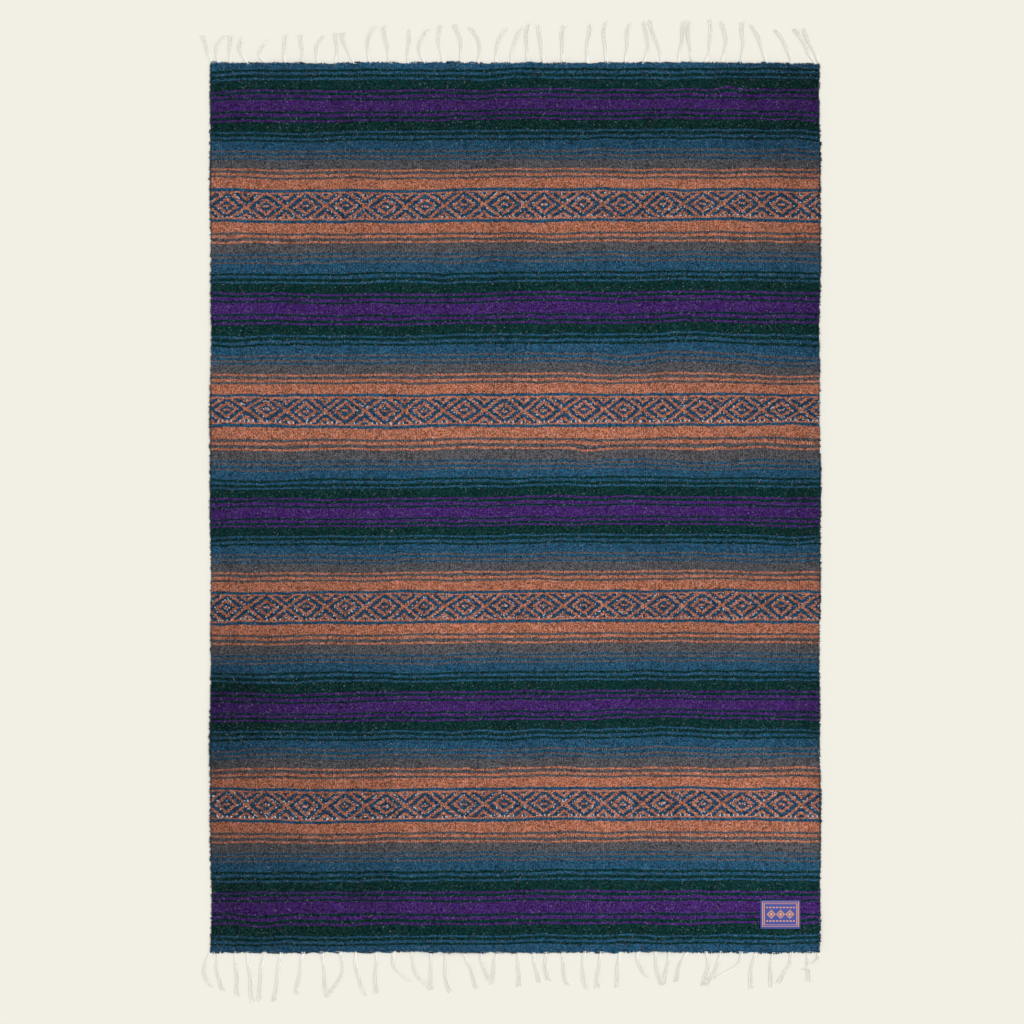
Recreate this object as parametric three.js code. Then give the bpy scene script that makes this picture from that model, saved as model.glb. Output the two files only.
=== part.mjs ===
// A Mexican serape of the falsa kind, laid out flat: one loom width of striped cloth, the
// warp fringe left at each end, and a small woven label sewn on near one corner.
// Millimetres, +Z up. The cloth rests on z = 0, its length runs along Y and its weft along X.
import * as THREE from "three";

// Driving dimensions
const CLOTH_WIDTH = 1300; // selvedge to selvedge
const CLOTH_LENGTH = 1895; // first pick to last pick, without the fringe
const WALL = 2.4; // thickness of the heavy weft-faced cloth
const SEAM_GAP = 0.3; // clearance between neighbouring pieces
const FRINGE_THICKNESS = 4.2; // a twisted bundle of warp ends, lying down
const LABEL_WIDTH = 84.6;
const LABEL_HEIGHT = 60.7;
const LABEL_WALL = 0.8;
const LABEL_CENTRE = { x: 564.5, y: -866.5 }; // from the centre of the cloth

// Steps of the faceted surfaces
const CLOTH_COLUMNS = 48;
const CLOTH_ROWS = 20;
const FRINGE_ROWS = 2;
const LABEL_COLUMNS = 6;
const LABEL_ROWS = 4;

// Where the laid cloth stands off the floor: the soft ridges of the old lengthwise folds, and
// the shallow swells between them and along the edges. Each is a cosine hump in both directions.
const SWELLS = [
  // x and y of the middle, half width across, half length along, height
  { x: -325, y: 420, across: 62, along: 620, height: 3.2 },
  { x: -318, y: -560, across: 70, along: 520, height: 2.6 },
  { x: 322, y: 480, across: 66, along: 560, height: 2.8 },
  { x: 330, y: -430, across: 60, along: 640, height: 3.4 },
  { x: -150, y: 120, across: 105, along: 900, height: 1.6 },
  { x: 165, y: -60, across: 110, along: 880, height: 1.9 },
  { x: -600, y: 330, across: 95, along: 360, height: 2.4 },
  { x: -610, y: -520, across: 90, along: 300, height: 2.0 },
  { x: 590, y: 250, across: 100, along: 420, height: 2.2 },
  { x: 668, y: -905, across: 44, along: 120, height: 3.4 },
  { x: 60, y: 950, across: 170, along: 120, height: 2.2 },
  { x: -480, y: 960, across: 120, along: 110, height: 2.6 },
  { x: 470, y: 955, across: 130, along: 100, height: 1.8 },
  { x: -130, y: -960, across: 150, along: 115, height: 2.4 },
  { x: 300, y: -965, across: 110, along: 105, height: 2.0 },
];

// How the outline wavers: waves of the hand-beaten edge, as a height, a length and a phase
const SELVEDGE_WAVES = [
  { height: 1.5, length: 640, phase: 0.6 },
  { height: 0.9, length: 233, phase: 2.1 },
];
const END_WAVES = [
  { height: 1.0, length: 520, phase: 1.3 },
  { height: 0.7, length: 171, phase: 0.2 },
];

// How far the fringe reaches past the cloth, and how far its tips lean sideways, at points
// across the width (-1 is the left selvedge, 1 the right)
const TOP_REACH = [
  { across: -1, reach: 58, lean: -19 },
  { across: -0.9, reach: 62, lean: -4 },
  { across: -0.3, reach: 76, lean: 0 },
  { across: 0.4, reach: 88, lean: 0 },
  { across: 0.9, reach: 91, lean: 0 },
  { across: 1, reach: 88, lean: 4 },
];
const BOTTOM_REACH = [
  { across: -1, reach: 88, lean: -19 },
  { across: -0.85, reach: 109, lean: -2 },
  { across: -0.5, reach: 103, lean: 0 },
  { across: 0.2, reach: 84, lean: 0 },
  { across: 0.8, reach: 78, lean: 0 },
  { across: 1, reach: 73, lean: 4 },
];

// A cosine hump: 1 in the middle, 0 from a distance of 1 outwards
function hump(distance) {
  const t = Math.min(Math.abs(distance), 1);
  return 0.5 + 0.5 * Math.cos(Math.PI * t);
}

// Height of the underside of the cloth above the floor
function liftAt(x, y) {
  let lift = 0;
  for (const swell of SWELLS) {
    const across = hump((x - swell.x) / swell.across);
    const along = hump((y - swell.y) / swell.along);
    lift = Math.max(lift, swell.height * across * along);
  }
  return lift;
}

// Sum of the outline's waves at a distance along one edge; the far edge has its own phases
function waver(waves, distance, side) {
  let sum = 0;
  for (const wave of waves) {
    const turn = (2 * Math.PI * distance) / wave.length;
    sum += wave.height * Math.sin(turn + wave.phase * (2 + side));
  }
  return sum;
}

// A point of the cloth in plan, from -1 to 1 across the width and along the length
function clothPlan(across, along) {
  const halfWidth = CLOTH_WIDTH / 2;
  const halfLength = CLOTH_LENGTH / 2;
  const side = Math.sign(across);
  const end = Math.sign(along);
  const x = across * (halfWidth + waver(SELVEDGE_WAVES, along * halfLength, side));
  const y = along * (halfLength + waver(END_WAVES, across * halfWidth, end));
  return { x, y };
}

// A value between the rows of a table, straight from each row to the next
function between(rows, across, column) {
  const next = rows.findIndex((row) => row.across >= across);
  if (next <= 0) return rows[0][column];
  const before = rows[next - 1];
  const after = rows[next];
  const share = (across - before.across) / (after.across - before.across);
  return THREE.MathUtils.lerp(before[column], after[column], share);
}

// A closed solid between two grids of points. lower and upper take a column and a row share
// from 0 to 1 and give a point each.
function slab(columns, rows, lower, upper) {
  const positions = [];
  for (const surface of [lower, upper]) {
    for (let row = 0; row <= rows; row += 1) {
      for (let column = 0; column <= columns; column += 1) {
        const point = surface(column / columns, row / rows);
        positions.push(point.x, point.y, point.z);
      }
    }
  }
  const layer = (columns + 1) * (rows + 1);
  const low = (column, row) => row * (columns + 1) + column;
  const high = (column, row) => layer + low(column, row);
  const faces = [];
  const quad = (a, b, c, d) => faces.push(a, b, c, a, c, d);
  for (let row = 0; row < rows; row += 1) {
    for (let column = 0; column < columns; column += 1) {
      quad(high(column, row), high(column + 1, row), high(column + 1, row + 1), high(column, row + 1));
      quad(low(column, row), low(column, row + 1), low(column + 1, row + 1), low(column + 1, row));
    }
  }
  for (let column = 0; column < columns; column += 1) {
    quad(low(column, 0), low(column + 1, 0), high(column + 1, 0), high(column, 0));
    quad(low(column + 1, rows), low(column, rows), high(column, rows), high(column + 1, rows));
  }
  for (let row = 0; row < rows; row += 1) {
    quad(low(0, row + 1), low(0, row), high(0, row), high(0, row + 1));
    quad(low(columns, row), low(columns, row + 1), high(columns, row + 1), high(columns, row));
  }
  const geometry = new THREE.BufferGeometry();
  geometry.setAttribute("position", new THREE.Float32BufferAttribute(positions, 3));
  geometry.setIndex(faces);
  geometry.computeVertexNormals();
  return geometry;
}

// The woven panel: one wall that follows the swells, flat on the floor everywhere else
function wovenPanel() {
  const surface = (height) => (columnShare, rowShare) => {
    const plan = clothPlan(2 * columnShare - 1, 2 * rowShare - 1);
    return { ...plan, z: liftAt(plan.x, plan.y) + height };
  };
  return slab(CLOTH_COLUMNS, CLOTH_ROWS, surface(0), surface(WALL));
}

// The fringe of one end as a plain slab of its reach. end is 1 at the top, -1 at the bottom.
function fringe(end, reaches) {
  const surface = (height) => (columnShare, rowShare) => {
    const across = 2 * columnShare - 1;
    const outward = end > 0 ? rowShare : 1 - rowShare;
    const base = clothPlan(across, end);
    const x = base.x + outward * between(reaches, across, "lean");
    const y = base.y + end * (SEAM_GAP + outward * between(reaches, across, "reach"));
    return { x, y, z: height };
  };
  return slab(CLOTH_COLUMNS, FRINGE_ROWS, surface(0), surface(FRINGE_THICKNESS));
}

// The sewn label: the points of the cloth's upper surface under it, moved out
function label() {
  const surface = (height) => (columnShare, rowShare) => {
    const x = LABEL_CENTRE.x + (columnShare - 0.5) * LABEL_WIDTH;
    const y = LABEL_CENTRE.y + (rowShare - 0.5) * LABEL_HEIGHT;
    return { x, y, z: liftAt(x, y) + WALL + SEAM_GAP + height };
  };
  return slab(LABEL_COLUMNS, LABEL_ROWS, surface(0), surface(LABEL_WALL));
}

function cloth(color) {
  return new THREE.MeshStandardMaterial({ color, roughness: 0.95, metalness: 0 });
}

const pieces = [
  { name: "woven_panel", geometry: wovenPanel(), material: cloth("#34485a") },
  { name: "fringe_top", geometry: fringe(1, TOP_REACH), material: cloth("#e9e6da") },
  { name: "fringe_bottom", geometry: fringe(-1, BOTTOM_REACH), material: cloth("#e9e6da") },
  { name: "label", geometry: label(), material: cloth("#3e48a0") },
];

const serape = new THREE.Group();
for (const piece of pieces) {
  const mesh = new THREE.Mesh(piece.geometry, piece.material);
  mesh.name = piece.name;
  serape.add(mesh);
}

// The origin is on the floor, under the middle of the whole outline, fringe included
const middle = new THREE.Box3().setFromObject(serape).getCenter(new THREE.Vector3());
serape.position.set(-middle.x, -middle.y, 0);

export default serape;
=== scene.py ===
import math

import bpy
import numpy as np
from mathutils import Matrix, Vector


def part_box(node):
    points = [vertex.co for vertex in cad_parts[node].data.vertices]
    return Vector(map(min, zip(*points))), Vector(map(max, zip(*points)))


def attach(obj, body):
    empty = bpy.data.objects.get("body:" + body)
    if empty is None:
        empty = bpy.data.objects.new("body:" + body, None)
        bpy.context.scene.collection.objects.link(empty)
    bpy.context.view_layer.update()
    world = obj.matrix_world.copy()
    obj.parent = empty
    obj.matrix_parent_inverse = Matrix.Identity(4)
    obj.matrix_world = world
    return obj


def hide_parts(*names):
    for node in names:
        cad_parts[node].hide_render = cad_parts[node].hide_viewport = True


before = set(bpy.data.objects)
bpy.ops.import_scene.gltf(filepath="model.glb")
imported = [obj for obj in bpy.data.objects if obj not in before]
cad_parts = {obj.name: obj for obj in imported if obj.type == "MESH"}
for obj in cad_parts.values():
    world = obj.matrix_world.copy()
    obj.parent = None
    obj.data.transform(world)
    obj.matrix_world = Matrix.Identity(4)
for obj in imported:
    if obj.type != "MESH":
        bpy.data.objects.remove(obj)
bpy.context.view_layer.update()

# ---------------------------------------------------------------------------------------------
# Camera. The blanket lies on the floor and is seen from straight above through a long lens,
# with its top end away from the viewer's feet.
# ---------------------------------------------------------------------------------------------
MM = 0.001
LENS = 85.0  # mm
SENSOR = 36.0  # mm
VIEW_WIDTH = 2182 * MM  # what the square picture takes in at the height of the cloth
VIEW_OFFSET = (-7.0 * MM, -9.4 * MM)  # from the middle of the cloth

panel_low, panel_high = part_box("woven_panel")
CLOTH_MIDDLE = np.array((panel_low + panel_high) / 2)[:2]
camera = bpy.data.objects.new("camera", bpy.data.cameras.new("camera"))
camera.data.lens = LENS
camera.data.sensor_width = SENSOR
camera.location = (
    CLOTH_MIDDLE[0] + VIEW_OFFSET[0],
    CLOTH_MIDDLE[1] + VIEW_OFFSET[1],
    VIEW_WIDTH * LENS / SENSOR,
)
bpy.context.scene.collection.objects.link(camera)
bpy.context.scene.camera = camera

# ---------------------------------------------------------------------------------------------
# The woven panel: one loom width of heavy weft-faced plain weave, recycled mixed-fibre yarn
# beaten hard over a cotton warp, striped in five colours by the pick and mirrored about each
# purple middle, with rows of pick-up diamonds between. It lies flat but for old folds.
# ---------------------------------------------------------------------------------------------
CLOTH_WIDTH = 1300 * MM
CLOTH_LENGTH = 1895 * MM
WALL = 2.4 * MM
END_PITCH = 4.69 * MM  # from one warp end to the next
PICK_PITCH = 2.09 * MM  # from one weft pick to the next, beaten down
TRIM = 1.4 * MM  # how far the loops of the edges stand out from the flat of the cloth
PANEL_COLUMNS = 176
PANEL_ROWS = 250
CLOSE_STEPS = np.array([0, 0.08, 0.3, 0.65, 1.0])  # grid lines over a rounded edge, as shares

# Swells of the laid cloth, as in the solid: middle, half sizes and height, in mm
SWELLS = np.array([
    # x, y, across, along, height
    (-325, 420, 62, 620, 3.2),
    (-318, -560, 70, 520, 2.6),
    (322, 480, 66, 560, 2.8),
    (330, -430, 60, 640, 3.4),
    (-150, 120, 105, 900, 1.6),
    (165, -60, 110, 880, 1.9),
    (-600, 330, 95, 360, 2.4),
    (-610, -520, 90, 300, 2.0),
    (590, 250, 100, 420, 2.2),
    (668, -905, 44, 120, 3.4),
    (60, 950, 170, 120, 2.2),
    (-480, 960, 120, 110, 2.6),
    (470, 955, 130, 100, 1.8),
    (-130, -960, 150, 115, 2.4),
    (300, -965, 110, 105, 2.0),
]) * MM

# Waves of the hand-beaten outline, as in the solid: height, length (mm) and phase
SELVEDGE_WAVES = ((1.5, 640, 0.6), (0.9, 233, 2.1))
END_WAVES = ((1.0, 520, 1.3), (0.7, 171, 0.2))

# The weaver's count: how many half repeats are woven at places down the cloth (mm above its
# middle), from the middle of the first purple stripe. The hand-beaten picks lie closer in some
# places than in others, and most loosely in the rows of diamonds.
HALF_REPEAT = 102.25  # picks from the middle of a purple stripe to the middle of the diamonds
BEAT = np.array([
    # height, half repeats
    (947.6, -0.41), (858, 0), (751, 0.5), (688, 0.8), (644, 1), (599, 1.2), (534, 1.5),
    (425, 2), (348, 2.35), (317, 2.5), (252, 2.8), (207, 3), (161, 3.2), (92, 3.5),
    (64, 3.65), (-10, 4), (-58, 4.25), (-108, 4.5), (-168, 4.8), (-210, 5), (-255, 5.2),
    (-320, 5.5), (-349, 5.65), (-423, 6), (-463, 6.2), (-514, 6.45), (-588, 6.8),
    (-632, 7), (-678, 7.2), (-733, 7.45), (-762, 7.6), (-851, 8), (-902, 8.21), (-947.6, 8.435),
])

# How the weft leans across the loom: mm above its even line at places across the width
LEAN_X = np.array([-650, -400, -200, 0, 350, 550, 650])
LEAN_UP = np.array([-2.4, -2.5, -1.4, 1.0, 2.3, 0.6, -0.4])

# How the yarns stray besides: the warp ends sideways, and the weft up and down by so many mm
# over so wide and so long a place, with the seed of its draw
CROWDING = 1.4 * MM
WEFT_WAVERS = ((0.9, (210 * MM, 120 * MM), 22), (0.45, (70 * MM, 60 * MM), 23))
SPARE_PICKS = (2.0, 0.7)  # picks past the first and the last count that keep their colour

# Places where a selvedge or a fold pulls the weft up or down: middle, half sizes, rise, in mm
PULLS = np.array([
    # x, y, across, along, rise
    (-655, 890, 85, 110, -3),
    (668, -905, 105, 120, 3.5),
    (652, 800, 60, 110, -5),
    (456, 896, 40, 32, 6),
    (-548, -885, 75, 70, -7),
    (-470, 800, 220, 60, -2),
    (-500, -400, 120, 70, -3),
    (230, -20, 150, 60, 3),
    (330, -450, 170, 110, 2.5),
    (390, 400, 120, 80, 2.5),
    (250, 720, 70, 260, -3.3),
    (-610, 538, 90, 60, -2.5),
    (-250, 425, 70, 60, -2.7),
    (480, 426, 90, 50, 2),
    (600, 310, 140, 50, -8),
    (230, 312, 110, 45, -6.5),
    (200, 268, 170, 50, -4),
    (570, 268, 160, 50, -4.5),
    (-600, 350, 90, 60, -5),
    (-260, 375, 160, 60, -4),
    (70, 410, 50, 50, -3),
    (-620, 700, 150, 60, 5.5),
    (-350, 700, 60, 60, 3),
    (-420, 550, 60, 60, 3),
    (380, 520, 120, 80, 2.8),
    (500, 470, 120, 60, 2.6),
    (-640, 455, 60, 50, 3.5),
    (-70, 885, 60, 90, -3.2),
    (310, 890, 80, 70, -3),
    (-590, 195, 180, 75, 5.5),
    (580, 172, 150, 45, 7),
    (-250, 190, 90, 60, 3),
    (-560, 205, 60, 40, 3.5),
    (180, 135, 90, 60, -3.5),
    (150, 110, 50, 40, -7),
    (-550, 60, 150, 45, -5.2),
    (70, 45, 110, 50, 3.4),
    (-640, -75, 80, 45, -4),
    (580, -60, 80, 55, -3.6),
    (-230, -168, 100, 50, 4),
    (-645, -235, 70, 60, -5.5),
    (280, -360, 60, 60, 3.2),
    (-10, -490, 70, 60, -4),
    (210, -455, 50, 40, 2.8),
    (-430, -660, 110, 40, -4),
    (-280, -800, 50, 70, 3.5),
    (-40, -905, 90, 50, -3.2),
    (330, -905, 110, 60, -4),
    (420, 100, 130, 55, -6.5),
    (590, -10, 110, 60, -3),
    (-640, -314, 60, 50, -3.5),
    (-540, -426, 260, 50, -2.5),
    (-50, -425, 60, 50, -2.6),
    (190, -425, 90, 50, 2.2),
    (470, -425, 90, 60, 3),
    (-640, -533, 330, 60, 4.2),
    (-650, -520, 100, 50, -8),
    (-640, -605, 100, 45, 5),
    (650, 350, 70, 60, -5),
    (-640, 810, 60, 50, -3.5),
    (500, -530, 50, 50, 2.6),
    (-615, -634, 60, 50, 3),
    (-50, -740, 60, 50, 2.8),
    (-420, -850, 380, 60, 2.6),
    (440, -850, 120, 50, -2.2),
])

# Broad lighter and darker places painted into the cloth's colour: mostly painted light and shade
# of the uneven light over the cloth and along its old folds, with some unevenness of the nap and
# dye: middle, half sizes (mm) and how much lighter
NAP_AND_PAINTED_LIGHT_PATCHES = np.array([
    # x, y, across, along, lighter
    (-700, -560, 560, 900, -0.30),
    (560, -760, 560, 620, 0.22),
    (660, 600, 260, 900, -0.17),
    (130, -150, 300, 1500, 0.07),
    # Painted shade along the old fold lines
    (-352, 100, 55, 1100, -0.05),
    (-28, 300, 60, 800, -0.07),
    (295, 250, 60, 900, -0.06),
    (0, 950, 1400, 330, -0.07),
    (610, 930, 260, 420, -0.12),
    (0, 800, 1500, 130, -0.16),
    (0, 958, 1400, 35, 0.22),
    (540, 940, 240, 60, -0.12),
    (-560, 940, 200, 60, -0.08),
    (-240, 935, 130, 60, 0.14),
    (20, 140, 900, 430, 0.10),
    (-115, -180, 120, 700, 0.08),
    (-600, -440, 130, 220, -0.09),
    (-590, -880, 300, 260, -0.10),
    (-305, -650, 70, 420, -0.12),
    (660, -420, 130, 520, -0.16),
    (640, 50, 130, 300, -0.10),
    (160, -740, 110, 330, 0.09),
    (-15, 560, 60, 240, -0.10),
    (330, -650, 60, 260, -0.08),
    (-190, -20, 60, 900, 0.06),
    (-600, 880, 160, 130, -0.08),
    (-315, 650, 70, 110, -0.08),
    (-305, -840, 80, 110, -0.12),
    (-600, -420, 110, 180, -0.07),
    (640, -460, 80, 260, -0.08),
    (-60, -285, 420, 55, 0.09),
    (180, -380, 100, 170, 0.07),
    (650, -930, 80, 60, -0.10),
])
USUAL_TONE = 0.97
TONE_UNEVENNESS = 0.03


def hump(distance):
    """A cosine hump: 1 at no distance, falling smoothly to 0 at a distance of 1 and beyond."""
    return 0.5 + 0.5 * np.cos(np.pi * np.minimum(np.abs(distance), 1))


def humps(rows, x, y):
    """For each row of a table, its last number times a hump across times a hump along."""
    across = hump((x[..., None] - rows[:, 0]) / rows[:, 2])
    along = hump((y[..., None] - rows[:, 1]) / rows[:, 3])
    return rows[:, 4] * across * along


def unevenness(x, y, size, seed):
    """Smooth random unevenness of about one unit: a sum of plane waves in random directions,
    each 0.7 to 1.6 times size (along x, along y) long, with random phases."""
    draw = np.random.default_rng(seed)
    total = np.zeros(np.shape(x))
    waves = 18
    for angle, length, phase in draw.uniform((0, 0.7, 0), (2 * np.pi, 1.6, 2 * np.pi), (waves, 3)):
        turn = x / size[0] * math.cos(angle) + y / size[1] * math.sin(angle)
        total += np.cos(2 * np.pi * turn / length + phase)
    return total * math.sqrt(2 / waves)


def lift(x, y):
    """Height of the cloth's underside over the floor: the highest of the swells there."""
    return humps(SWELLS, x, y).max(-1)


def cockle(x, y):
    """Small cockling of the upper face: 0.16 mm over a hand's breadth, 0.1 mm over a finger's."""
    broad = unevenness(x, y, (90 * MM, 140 * MM), 11)
    close = unevenness(x, y, (28 * MM, 34 * MM), 12)
    return (0.16 * broad + 0.10 * close) * MM


def waver(waves, distance, side):
    """The outline's waves at a distance along one edge: a sum of sines, phased by the side."""
    total = np.zeros(np.broadcast(distance, side).shape)
    for height, length, phase in waves:
        total += height * MM * np.sin(2 * np.pi * distance / (length * MM) + phase * (2 + side))
    return total


def cloth_plan(across, along):
    """Place on the floor of a point of the cloth from -1 to 1 across and along: the half sizes
    plus the outline's waves, shared out in proportion."""
    half_width, half_length = CLOTH_WIDTH / 2, CLOTH_LENGTH / 2
    x = across * (half_width + waver(SELVEDGE_WAVES, along * half_length, np.sign(across)))
    y = along * (half_length + waver(END_WAVES, across * half_width, np.sign(along)))
    return x, y


def weave_place(x, y):
    """Warp end and weft pick at a place: distance over the end pitch, crowded here and there,
    and the beat's own count at the height that the pulled weft had on an even line."""
    half_width = CLOTH_WIDTH / 2
    crowding = CROWDING * unevenness(x, y, (230 * MM, 600 * MM), 21) * hump(x / half_width) ** 0.5
    ends = (x + half_width + crowding) / END_PITCH
    rise = np.interp(x / MM, LEAN_X, LEAN_UP)
    rise += humps(PULLS, x / MM, y / MM).sum(-1)
    for height, size, seed in WEFT_WAVERS:
        rise += height * unevenness(x, y, size, seed)
    even_y = y / MM - rise
    picks = np.interp(-even_y, -BEAT[:, 0], BEAT[:, 1] * HALF_REPEAT)
    above = np.maximum(even_y - BEAT[0, 0], 0)
    below = np.maximum(BEAT[-1, 0] - even_y, 0)
    picks = picks + (below - above) * MM / PICK_PITCH
    first_pick, last_pick = BEAT[[0, -1], 1] * HALF_REPEAT
    return ends, np.clip(picks, first_pick - SPARE_PICKS[0], last_pick + SPARE_PICKS[1])


def tone_and_painted_light(x, y):
    """How light the cloth is there: the usual tone plus the humps of painted light and shade
    there, a little uneven.
    """
    patches = humps(NAP_AND_PAINTED_LIGHT_PATCHES, x / MM, y / MM).sum(-1)
    return USUAL_TONE + patches + TONE_UNEVENNESS * unevenness(x, y, (60 * MM, 130 * MM), 31)


def edge_spaced(count, length, margin):
    """Places from -1 to 1, evenly spaced but for a few close ones that round off both edges."""
    close = CLOSE_STEPS * margin / length * 2
    inner = np.linspace(-1 + close[-1], 1 - close[-1], count - 2 * len(close) + 3)
    return np.concatenate([-1 + close[:-1], inner, 1 - close[:-1][::-1]])


def grid_faces(rows, columns):
    """Quads between the points of a grid of rows by columns, wound to face up."""
    at = np.arange(rows * columns).reshape(rows, columns)
    return np.stack([at[:-1, :-1], at[:-1, 1:], at[1:, 1:], at[1:, :-1]], -1).reshape(-1, 4)


def new_piece(name, points, faces, material):
    """A mesh object of that name at the origin, with its points in the row frame."""
    mesh = bpy.data.meshes.new(name)
    mesh.from_pydata(points.reshape(-1, 3).tolist(), [], faces.tolist())
    mesh.materials.append(material)
    mesh.shade_smooth()
    piece = bpy.data.objects.new(name, mesh)
    bpy.context.scene.collection.objects.link(piece)
    return piece


def edge_rounding(across, along, width, length, thickness):
    """How full a laid sheet is there: the height of a circle of its half thickness, from 0 at
    the border to 1 where the border is half a thickness away."""
    inset = np.minimum((1 - np.abs(across)) * width / 2, (1 - np.abs(along)) * length / 2)
    return np.sqrt(1 - (1 - np.minimum(inset / (thickness / 2), 1)) ** 2)


def closed_shell(name, upper, lower, material):
    """A piece from the two faces of a sheet on one grid of points. They share the border points,
    so that the wall is closed. Returns it and the grid point that each of its points is on."""
    rows, columns = upper.shape[:2]
    number = np.arange(rows * columns).reshape(rows, columns)
    inner = np.ones((rows, columns), bool)
    inner[[0, -1], :] = False
    inner[:, [0, -1]] = False
    under_number = number.copy()
    under_number[inner] = number.size + np.arange(inner.sum())
    upper_faces = grid_faces(rows, columns)
    lower_faces = under_number.ravel()[upper_faces][:, ::-1]
    piece = new_piece(name, np.concatenate([upper.reshape(-1, 3), lower[inner]]),
                      np.concatenate([upper_faces, lower_faces]), material)
    return piece, np.concatenate([number.ravel(), number[inner]])


def face_corners(piece):
    """The number of the point at each face corner."""
    corners = np.empty(len(piece.data.loops), np.int32)
    piece.data.loops.foreach_get("vertex_index", corners)
    return corners


def give_uv(piece, name, u, v):
    """A UV map of that name, from one u and one v for each face corner."""
    layer = piece.data.uv_layers.new(name=name, do_init=False)
    pair = np.stack([np.ravel(u), np.ravel(v)], -1)
    layer.uv.foreach_set("vector", pair.astype(np.float32).ravel())


def give_value(piece, name, values):
    """A number for each point of the mesh, as an attribute of that name."""
    attribute = piece.data.attributes.new(name, "FLOAT", "POINT")
    attribute.data.foreach_set("value", np.ravel(values).astype(np.float32))


def linear(hex_colour):
    """The linear colour of an sRGB hex value, with an alpha of 1."""
    parts = [int(hex_colour[k : k + 2], 16) / 255 for k in (1, 3, 5)]
    return [p / 12.92 if p <= 0.04045 else ((p + 0.055) / 1.055) ** 2.4 for p in parts] + [1.0]


def add(tree, kind, settings=(), links=()):
    """Adds a node. A setting is one of its properties or, by name or number, a socket's value;
    a link feeds a socket from another node's first output or from a given output."""
    node = tree.nodes.new(kind)
    for name, value in dict(settings).items():
        if isinstance(name, int) or name in node.inputs:
            node.inputs[name].default_value = value
        else:
            setattr(node, name, value)
    for name, source in dict(links).items():
        output = source.outputs[0] if isinstance(source, bpy.types.Node) else source
        tree.links.new(output, node.inputs[name])
    return node


def new_material(name):
    """An empty node material of that name, and its tree."""
    material = bpy.data.materials.new(name)
    material.use_nodes = True
    material.node_tree.nodes.clear()
    return material, material.node_tree


# The five yarns, and the order of the stripes from the middle of a purple stripe to the diamonds.
# A pair of dark picks on a lighter ground shows a little wider than two picks.
PURPLE, GREEN, BLUE, GREY, ORANGE = "#3c2060", "#052b2a", "#204863", "#4c4b50", "#9e644f"
STRIPES = (
    # picks, yarn
    (5.5, PURPLE), (2, GREEN), (3, PURPLE), (3, GREEN), (2, PURPLE), (10, GREEN),
    (2, BLUE), (3, GREEN), (2.8, BLUE), (2.4, GREEN), (9.8, BLUE),
    (2, GREY), (3, BLUE), (3, GREY), (2, BLUE), (10, GREY),
    (2, ORANGE), (3, GREY), (2.8, ORANGE), (2.4, GREY), (9.8, ORANGE),
    (3, BLUE), (13.75, ORANGE),
)
DIAMOND_BLUE, DIAMOND_ORANGE = "#203d56", "#9a634f"
DIAMOND_HALF_HEIGHT = 12.25  # picks
DIAMOND_HALF_WIDTH = 9  # ends from the middle of a diamond to the middle of the gap
DIAMOND_SLOPE = 1.66  # picks that a diagonal climbs for each end
DIAMOND_FIRST_END = 7.6  # the end at the middle of the first diamond
LINE_PERIOD = 7.5  # picks from one blue outline to the next
LINE_SHARE = 0.59  # how much of that is blue
LINE_START = 1.3  # picks from the middle of a diamond to its first blue outline
DASH_HALF_WIDTH, DASH_HALF_HEIGHT = 1.7, 0.8  # the orange dash in the middle, in ends and picks
PALE_FIBRE = "#c2c8d0"
PALE_ROW = 11.2  # picks below the middle of the diamonds where the cotton shows most
PALE_ROW_HALF = 0.7  # picks
CARRIED = "#16303b"  # the dark yarns carried up the selvedge
ENDS_ACROSS = CLOTH_WIDTH / END_PITCH

# How far a brick of the weave stands off its row, in picks
WANDER = 0.7  # either way, as the thread wanders
STAGGER = 0.5  # every other brick
COMB_ODD, COMB_START, COMB_CHANCE = 0.35, -0.27, 0.2  # at a stripe's edge: odd, all, by chance

# Shares: of lightness, of a brick's height, of pale fibre or cotton in a brick, and of the
# bricks or the warp ends that have none
# A share of painted light and shade over the warp ends
RIB_PAINTED_SHADE = 0.11
FIBRE_RELIEF = 0.35
TRACE, TRACE_POWER = 0.13, 10.0
TUFT, NO_TUFT = 0.32, 0.98
DOT, NO_DOT, NO_ROW_DOT = 0.85, 0.88, 0.4
DOT_EDGE = 1.5  # picks of an outline's edge where the warp may show


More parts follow.
